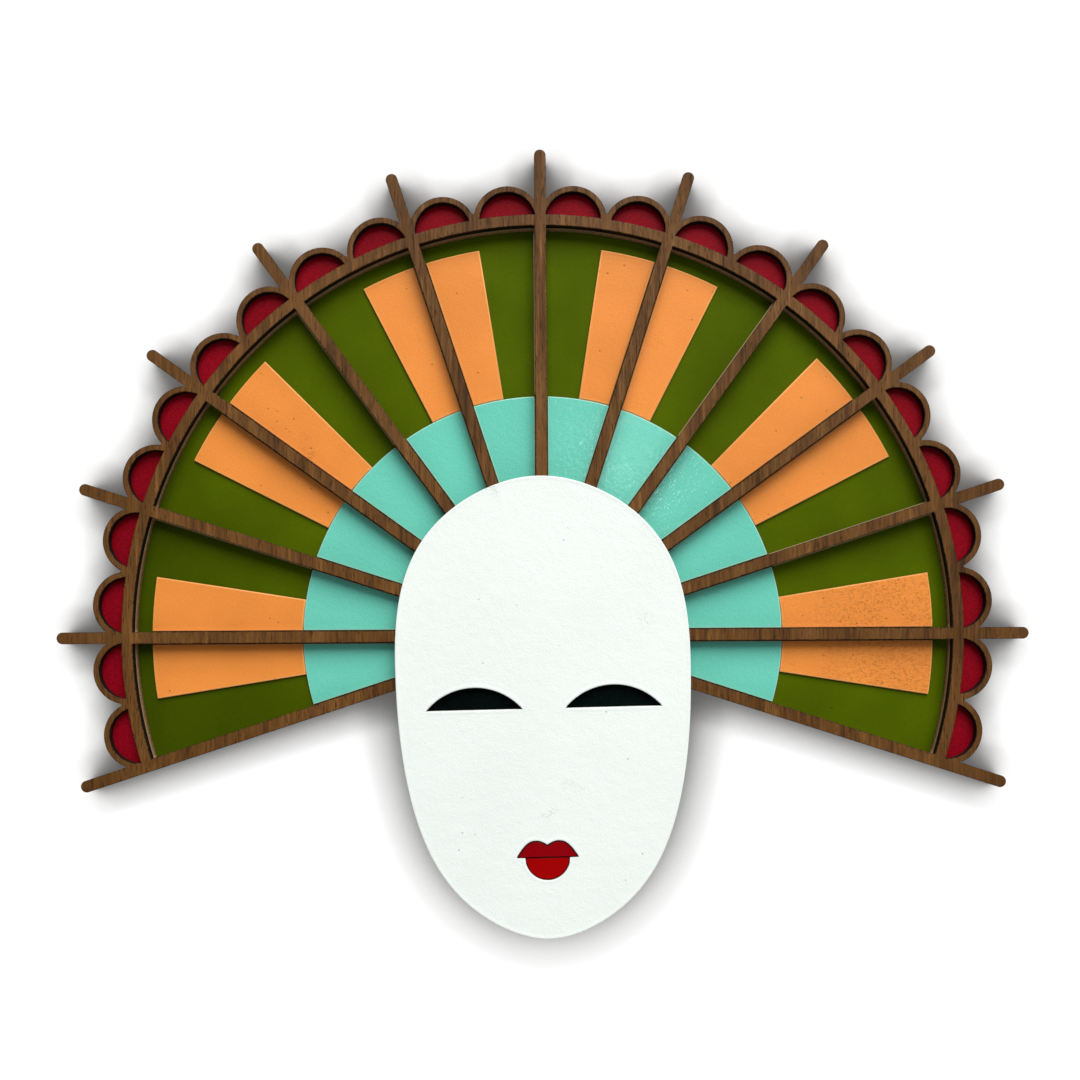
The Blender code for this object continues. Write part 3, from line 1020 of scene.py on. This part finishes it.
@dataclass(frozen=True)
class Face:
    """Sizes of the face and outlines of its boards.

    Attributes:
        drop: Distance of its widest line below the fan's centre.
        tilt: Its turn, anticlockwise.
        half_width: Half its width.
        crown: Height of the crown above the widest line.
        chin: Depth of the chin below it.
        flank_swell: How much fuller than an ellipse its flanks are.
        crown_swell: More swell towards the crown.
        chin_swell: More swell towards the chin.
        backing_inset: Distance of the black board's outline inside the face's.
        eye_spacing: Distance between the eyes' middles.
        eye_drop: Distance of the eyes' base lines below the widest line.
        eye_width: Width of an eye.
        eye_height: Height of an eye.
        mouth_drop: Distance of the mouth line below the widest line.
        mouth_width: Width of the upper lip.
        lip_peaks: Distance between the upper lip's peaks.
        lip_height: Height of the peaks.
        lip_notch: Height of the notch between them.
        lip_slope: Power that shapes the slope from a peak to its corner.
        lower_lip: Radius of the lower lip.
        clearance: Gap round the lips.
    """

    drop: float = 0.0099
    tilt: float = math.radians(1.1)
    half_width: float = 0.0587
    crown: float = 0.0734
    chin: float = 0.1106
    flank_swell: float = 0.06
    crown_swell: float = 0.03
    chin_swell: float = 0.14
    backing_inset: float = 0.006
    eye_spacing: float = 0.0554
    eye_drop: float = 0.0191
    eye_width: float = 0.0384
    eye_height: float = 0.0089
    mouth_drop: float = 0.077973
    mouth_width: float = 0.0239
    lip_peaks: float = 0.0088
    lip_height: float = 0.0062
    lip_notch: float = 0.0045
    lip_slope: float = 1.2
    lower_lip: float = 0.0086
    clearance: float = 0.0003

    def placed(self, loop: Loop) -> Loop:
        """Loop of the face's own frame, turned by the tilt and dropped below the fan's centre."""
        cosine, sine = math.cos(self.tilt), math.sin(self.tilt)
        turned = loop @ np.array([[cosine, sine], [-sine, cosine]])
        return turned - np.array([0.0, self.drop])

    def egg(self, inset: float = 0.0, steps: int = 240) -> Loop:
        """Egg outline: x = half-width * sin(t) * swell, y = height * cos(t).

        The swell is 1 + sin(2t) squared * (flank + end * cos(t) to the fourth). The height and the end
        are the crown's above the widest line and the chin's below it.

        Args:
            inset: Distance inside the face's outline.
            steps: Number of points.

        Returns:
            The outline in the fan's frame.
        """
        turn = np.arange(steps) * 2 * math.pi / steps
        rise = np.cos(turn)
        height = np.where(rise > 0, self.crown, self.chin) - inset
        end = np.where(rise > 0, self.crown_swell, self.chin_swell)
        swell = 1 + np.sin(2 * turn) ** 2 * (self.flank_swell + end * rise ** 4)
        across = (self.half_width - inset) * np.sin(turn) * swell
        return self.placed(np.column_stack([across, height * rise]))

    def eye(self, hand: Hand) -> Loop:
        """Opening of an eye: an arc over a straight base line."""
        half = self.eye_width / 2
        radius = (half ** 2 + self.eye_height ** 2) / (2 * self.eye_height)
        end = math.asin(half / radius)
        centre = np.array([hand.value * self.eye_spacing / 2, self.eye_height - self.eye_drop - radius])
        curve = arc(centre, radius, -end, end, steps=40)
        base = np.linspace(curve[-1], curve[0], 9)[1:-1]
        return self.placed(np.concatenate([curve, base]))

    def lip_edge(self) -> Loop:
        """Upper edge of the upper lip above the mouth line, from corner to corner.

        From the notch to a peak the height rises as a quarter sine. From the peak to the corner it falls
        as the cosine of the distance's share to the slope power.
        """
        peak = self.lip_peaks / 2
        side = self.mouth_width / 2 - peak
        near = np.arange(8) / 8
        far = np.linspace(0.0, 1.0, 25)
        inner = np.column_stack([near * peak, self.lip_notch + (self.lip_height - self.lip_notch)
                                 * np.sin(near * math.pi / 2)])
        outer = np.column_stack([peak + far * side,
                                 self.lip_height * np.cos(far ** self.lip_slope * math.pi / 2)])
        right = np.concatenate([inner, outer])
        left = right[1:][::-1] * np.array([-1.0, 1.0])
        return np.concatenate([left, right])

    def lower_arc(self) -> Loop:
        """Round edge of the lower lip, below the mouth line by the clearance."""
        centre = np.array([0.0, -self.clearance])
        return arc(centre, self.lower_lip, math.pi / 2, 3 * math.pi / 2, steps=40)

    def at_mouth(self, loop: Loop) -> Loop:
        """Loop drawn round the mouth line's middle, placed on the face."""
        return self.placed(loop - np.array([0.0, self.mouth_drop]))

    def mouth(self) -> Loop:
        """Opening round both lips, one clearance away from them."""
        corner = np.array([[self.lower_lip, 0.0]])
        both = np.concatenate([self.lip_edge(), corner, self.lower_arc(), -corner])
        return self.at_mouth(moved_left(running(both, False), np.array([self.clearance]))[0])

    def backing(self, fan: Fan) -> Loop:
        """Black board behind the face: the inset egg, cut off along the lowest ribs and round the hub.

        Args:
            fan: The fan whose ribs and hub it lies beside.

        Returns:
            Its outline, running from the right rib over the hub to the left rib and round the chin.
        """
        side, hub = fan.face_room()
        egg = self.egg(self.backing_inset, steps=720)
        left, right = fan.rib_angle(0), fan.rib_angle(fan.bays)
        below_right = egg @ np.array([math.cos(right), -math.sin(right)]) > side
        below_left = egg @ np.array([-math.cos(left), math.sin(left)]) > side
        low = below_right & below_left
        kept = egg[low]
        first = int(np.argmax(~low[np.arange(-1, len(low) - 1)] & low))
        kept = np.roll(kept, -int(np.sum(low[:first])), axis=0)
        over_hub = arc(CENTRE, hub, 2 * math.pi + left - math.asin(side / hub),
                       right + math.asin(side / hub), steps=24)
        return np.concatenate([kept, over_hub])


@dataclass
class Headdress:
    """Fan of the mask: three boards with painted panels between them.

    Attributes:
        fan: Sizes and outlines.
        levels: Heights of the layers.
        wrinkled_bays: Number of bays at the right whose orange paint is wrinkled.
        cut: Edge of the three boards.
        thin: Edge of the teal panels.
        soft: Edge of the orange panels.
    """

    fan: Fan
    levels: Levels
    wrinkled_bays: int = 2
    cut: Edge = Edge(radius=0.00015, band=0.0007)
    thin: Edge = Edge(radius=0.00042, steps=5, band=0.0001)
    soft: Edge = Edge(radius=0.0005, steps=5, band=0.0003, bead=0.00005, bead_width=0.0004)

    def dress(self) -> list[bpy.types.Object]:
        """Build and dress every board and panel of the fan."""
        return [self.back_board(), self.middle_board(), self.lattice(), *self.panels()]

    def back_board(self) -> bpy.types.Object:
        """Whole board at the back, painted green at the front."""
        side = RawPly("back_board_cut", veneer=(0.10, 0.05, 0.022), toast=(0.04, 0.018, 0.008),
                      glue=(0.02, 0.01, 0.005), span=self.levels.back, mist=(0.045, 0.07, 0.004),
                      mist_depth=0.0006)
        green = Paint("green_paint", (0.072, 0.110, 0.0005), cloud=0.10, grain=0.06, pits=0.003,
                      peel=0.00003, roughness=0.5, gloss=0.02, lower_left_darkening=0.36)
        board = Board("board_green", self.fan.outline(), [], self.levels.back, self.cut)
        return board.dress("back_board", "green_paint",
                           Finishes(green.material(), side.material(), BareBack().material()))

    def middle_board(self) -> bpy.types.Object:
        """Board with the bays cut out, painted red at the front, bare along its cuts."""
        side = RawPly("middle_board_cut", veneer=(0.56, 0.34, 0.18), toast=(0.34, 0.18, 0.085),
                      glue=(0.14, 0.065, 0.026), span=self.levels.middle, mist=(0.16, 0.03, 0.02),
                      mist_depth=0.0004)
        red = Paint("red_paint", (0.265, 0.002, 0.010), cloud=0.10, grain=0.18, pits=0.0, specks=0.0,
                    peel=0.0001, peel_size=0.0007, roughness=0.42, gloss=0.04,
                    worn_and_highlit=(0.34, 0.25, 0.13), wear_and_highlight=1.0, wear_and_highlight_start=0.4)
        bays = [self.fan.peeking_bay(bay) for bay in range(self.fan.bays)]
        board = Board("board_red", self.fan.outline(), bays, self.levels.middle, self.cut)
        back = BareBack("bare_back_middle")
        return board.dress("red_frame", "red_paint",
                           Finishes(red.material(), side.material(), back.material()))

    def lattice(self) -> bpy.types.Object:
        """Walnut ribs, rim and scallop loops in one piece."""
        char = Char().material()
        openings = [self.fan.bay(bay) for bay in range(self.fan.bays)] + self.fan.scallop_holes()
        board = Board("lattice_walnut", self.fan.outline(), openings, self.levels.lattice, self.cut)
        return board.dress("rib_lattice", "walnut", Finishes(Walnut().material(), char, char))

    def panels(self) -> list[bpy.types.Object]:
        """Teal and orange panels of every bay. The orange paint is wrinkled at the far right."""
        # The paler edge colours of the teal and orange paint are partly painted highlights of the
        # rounded edges.
        teal = Paint("teal_paint", (0.160, 0.638, 0.506), cloud=0.03, grain=0.05, peel=0.00014,
                     peel_size=0.0017, waves=0.0, pits=0.006, roughness=0.07, gloss=0.30,
                     worn_and_highlit=(0.58, 0.76, 0.68), wear_and_highlight=0.45)
        orange = Paint("orange_paint", (0.84, 0.283, 0.054), cloud=0.05, grain=0.05, pits=0.03,
                       wrinkles=0.12, gloss=0.12, worn_and_highlit=(0.95, 0.50, 0.20), wear_and_highlight=0.4)
        wrinkled = replace(orange, name="wrinkled_orange_paint", pits=0.05, wrinkles=1.0, outward=True)
        cut = RawPly("panel_cut", veneer=(0.42, 0.35, 0.24), toast=(0.28, 0.20, 0.12),
                     glue=(0.2, 0.14, 0.08), span=self.levels.panel, mist=(0.42, 0.38, 0.28),
                     mist_depth=0.0002).material()
        teal_skins, plain_skins, wrinkled_skins = (Finishes(paint.material(), cut, cut)
                                                   for paint in (teal, orange, wrinkled))
        pieces = []
        for bay in range(self.fan.bays):
            number = f"{bay + 1:02d}"
            skins = wrinkled_skins if bay >= self.fan.bays - self.wrinkled_bays else plain_skins
            near = Board("teal_" + number, self.fan.teal_panel(bay), [], self.levels.panel, self.thin)
            far = Board("orange_" + number, self.fan.orange_panel(bay), [], self.levels.panel, self.soft)
            pieces.append(near.dress("teal_panel_" + number, "teal_paint", teal_skins))
            pieces.append(far.dress("orange_panel_" + number, "orange_paint", skins))
        return pieces


@dataclass
class Visage:
    """White face with its black backing and red lips.

    Attributes:
        face: Sizes and outlines.
        fan: The fan that it lies on.
        levels: Heights of the layers.
        fat: Edge of the face, with a bead of paint.
        fine: Edge of the lips.
    """

    face: Face
    fan: Fan
    levels: Levels
    fat: Edge = Edge(radius=0.0004, steps=4, band=0.0006, bead=0.00011, bead_width=0.0007)
    fine: Edge = Edge(radius=0.0002, steps=3, band=0.0003, bead=0.00003, bead_width=0.0003)

    def dress(self) -> list[bpy.types.Object]:
        """Build and dress the face's pieces."""
        return [self.plate(), self.backing(), *self.lips()]

    def plate(self) -> bpy.types.Object:
        """White plate with its eyes and mouth cut out, and a fat edge of paint."""
        white = Paint("white_paint", (0.87, 0.93, 0.90), cloud=0.012, grain=0.008, pits=0.004,
                      pit_depth=0.00008, peel=0.00012, peel_size=0.0009, waves=0.00014, specks=0.035,
                      roughness=0.4, gloss=0.12)
        side = RawPly("face_cut", veneer=(0.72, 0.76, 0.68), toast=(0.50, 0.48, 0.38),
                      glue=(0.45, 0.42, 0.34), span=self.levels.face, mist=(0.84, 0.90, 0.84),
                      mist_depth=0.002)
        back = BareBack("bare_back_face")
        openings = [self.face.eye(Hand.LEFT), self.face.eye(Hand.RIGHT), self.face.mouth()]
        board = Board("face_white", self.face.egg(), openings, self.levels.face, self.fat)
        return board.dress("face_plate", "white_paint",
                           Finishes(white.material(), side.material(), back.material()))

    def backing(self) -> bpy.types.Object:
        """Black board that closes the eyes."""
        black = Paint("black_paint", (0.0020, 0.0056, 0.0052), cloud=0.2, grain=0.25, pits=0.0,
                      specks=0.0, gloss=0.02)
        char = Char("backing_cut").material()
        board = Board("backing_black", self.face.backing(self.fan), [], self.levels.lattice)
        return board.dress("face_backing", "black_paint", Finishes(black.material(), char, char))

    def lips(self) -> list[bpy.types.Object]:
        """Upper and lower lip, let into the mouth opening."""
        char = Char("lip_cut").material()
        upper = Paint("upper_lip_paint", (0.26, 0.0005, 0.003), cloud=0.04, grain=0.06, pits=0.0,
                      specks=0.0, gloss=0.06, worn_and_highlit=(0.06, 0.001, 0.002), wear_and_highlight=0.8)
        lower = replace(upper, name="lower_lip_paint", colour=(0.345, 0.0003, 0.0006),
                        worn_and_highlit=(0.12, 0.001, 0.002))
        pieces = []
        for where, edge_of_lip, paint in (("upper", self.face.lip_edge(), upper),
                                          ("lower", self.face.lower_arc(), lower)):
            lip = Board("lip_" + where, self.face.at_mouth(edge_of_lip), [], self.levels.face, self.fine)
            pieces.append(lip.dress(where + "_lip", where + "_lip_paint",
                                    Finishes(paint.material(), char, char)))
        return pieces


@dataclass(frozen=True)
class Lamp:
    """Oblong soft light that looks at the middle of the mask.

    Attributes:
        name: Name of the light.
        azimuth: Where it hangs, in degrees clockwise from the crown.
        elevation: Its height above the floor, in degrees.
        distance: Its distance from the middle of the mask.
        size: Its width and height.
        power: Its power in watts.
        colour: Its colour.
    """

    name: str
    azimuth: float
    elevation: float
    distance: float
    size: tuple[float, float]
    power: float
    colour: Rgb = (1.0, 1.0, 1.0)

    def hang(self, target: tuple[float, float, float], lit: list[bpy.types.Object]) -> None:
        """Make the light and let it light only the objects given.

        Args:
            target: Point that it looks at.
            lit: Objects that the light reaches.
        """
        data = bpy.data.lights.new(self.name, "AREA")
        data.shape = "RECTANGLE"
        data.size, data.size_y = self.size
        data.energy = self.power
        data.color = self.colour
        lamp = bpy.data.objects.new(self.name, data)
        level = math.cos(math.radians(self.elevation)) * ray(math.radians(self.azimuth))[0]
        away = Vector((*level, math.sin(math.radians(self.elevation))))
        lamp.location = Vector(target) + self.distance * away
        lamp.rotation_euler = away.to_track_quat("Z", "Y").to_euler()
        bpy.context.scene.collection.objects.link(lamp)
        receivers = bpy.data.collections.new(self.name + "_lights")
        for item in lit:
            receivers.objects.link(item)
        lamp.light_linking.receiver_collection = receivers


@dataclass
class Studio:
    """White floor with a painted shadow round the mask, soft lights round the mask, brightest from the
    crown, and a camera straight above.

    Attributes:
        sky: Brightness of the even daylight.
        lamps: Lights on the mask.
        washes: Lights on the floor alone, all round at one height.
        middle: Point that all lights look at.
        floor_size: Side of the floor.
        floor_open: Colour of the floor where it lies open.
        floor_painted_shadow: Colour of the painted shadow on the floor close to the mask.
        painted_shadow_reach: How far from the mask the painted shadow reaches.
        camera_height: Height of the camera above the floor.
        camera_near: Nearest distance that the camera sees.
        lens: Focal length in millimetres.
        sensor: Width of the sensor in millimetres.
        shift: How far the fan's centre lies below and beside the picture's middle, in picture widths.
        roll: Turn of the mask in the picture, anticlockwise.
    """

    sky: float = 0.06
    lamps: tuple[Lamp, ...] = (
        Lamp("key", 12.0, 44.0, 3.0, (2.4, 2.5), 129.0, (1.0, 0.99, 0.97)),
        Lamp("left", -80.0, 42.0, 1.5, (1.0, 1.0), 1.2),
        Lamp("right", 80.0, 42.0, 1.5, (1.0, 1.0), 2.4),
        Lamp("foot", 180.0, 42.0, 1.5, (1.0, 1.0), 3.0),
        Lamp("glint", 32.6, 77.5, 1.0, (0.05, 0.05), 0.17))
    washes: tuple[Lamp, ...] = tuple(
        Lamp("floor_wash", 22.5 + 45 * number, 40.0, 1.5, (0.85, 0.3), 5.25) for number in range(8))
    middle: tuple[float, float, float] = (0.0, 0.05, 0.0)
    floor_size: float = 6.0
    floor_open: Rgb = (0.92, 0.92, 0.92)
    floor_painted_shadow: Rgb = (0.32, 0.32, 0.32)
    painted_shadow_reach: float = 0.040
    camera_height: float = 0.427
    camera_near: float = 0.01
    lens: float = 34.75
    sensor: float = 36.0
    shift: tuple[float, float] = (-0.0024, 0.0885)
    roll: float = math.radians(0.34)

    def floor(self) -> bpy.types.Object:
        """White floor that the mask lies on, with a painted shadow that darkens it close to the mask."""
        corners = np.array([[-1, -1, 0], [1, -1, 0], [1, 1, 0], [-1, 1, 0]]) * self.floor_size / 2
        mesh = bpy.data.meshes.new("floor")
        mesh.from_pydata(corners.tolist(), [], [[0, 1, 2, 3]])
        floor = bpy.data.objects.new("floor", mesh)
        bpy.context.scene.collection.objects.link(floor)
        g = Graph("floor_white_painted_shadow")
        # Painted shadow: the floor's colour turns grey where the mask shuts it in.
        painted_shadow = g.painted_shadow_mask(self.painted_shadow_reach, open_to=0.94, shut_at=0.45)
        colour = g.mix(painted_shadow, self.floor_open, self.floor_painted_shadow)
        mesh.materials.append(g.finish(colour, roughness=0.9))
        return floor

    def daylight(self) -> None:
        """Even white light from all around."""
        world = bpy.data.worlds.new("daylight")
        world.use_nodes = True
        background = world.node_tree.nodes["Background"]
        background.inputs["Color"].default_value = (1.0, 1.0, 1.0, 1.0)
        background.inputs["Strength"].default_value = self.sky
        bpy.context.scene.world = world

    def camera(self) -> None:
        """Camera straight above the fan's centre, with the crown at the top of the picture."""
        data = bpy.data.cameras.new("camera")
        data.lens = self.lens
        data.sensor_width = self.sensor
        data.shift_x, data.shift_y = self.shift
        data.clip_start = self.camera_near
        camera = bpy.data.objects.new("camera", data)
        camera.location = (0.0, 0.0, self.camera_height)
        camera.rotation_euler = (0.0, 0.0, -self.roll)
        bpy.context.scene.collection.objects.link(camera)
        bpy.context.scene.camera = camera

    def set_up(self, pieces: list[bpy.types.Object]) -> None:
        """Build the whole studio round the finished pieces.

        Args:
            pieces: The mask's pieces.
        """
        bpy.context.scene.view_settings.view_transform = "Standard"
        self.camera()
        self.daylight()
        for lamp in self.lamps:
            lamp.hang(self.middle, pieces)
        floor = self.floor()
        for lamp in self.washes:
            lamp.hang(self.middle, [floor])


def main() -> None:
    """Build the mask and its studio, and log how many pieces there are."""
    logging.basicConfig(level=logging.INFO, format="%(name)s: %(message)s")
    levels = Levels.from_frame()
    fan = Fan()
    pieces = Headdress(fan, levels).dress() + Visage(Face(), fan, levels).dress()
    Studio().set_up(pieces)
    LOG.info("%d pieces in all", len(pieces))


if __name__ == "__main__":
    main()
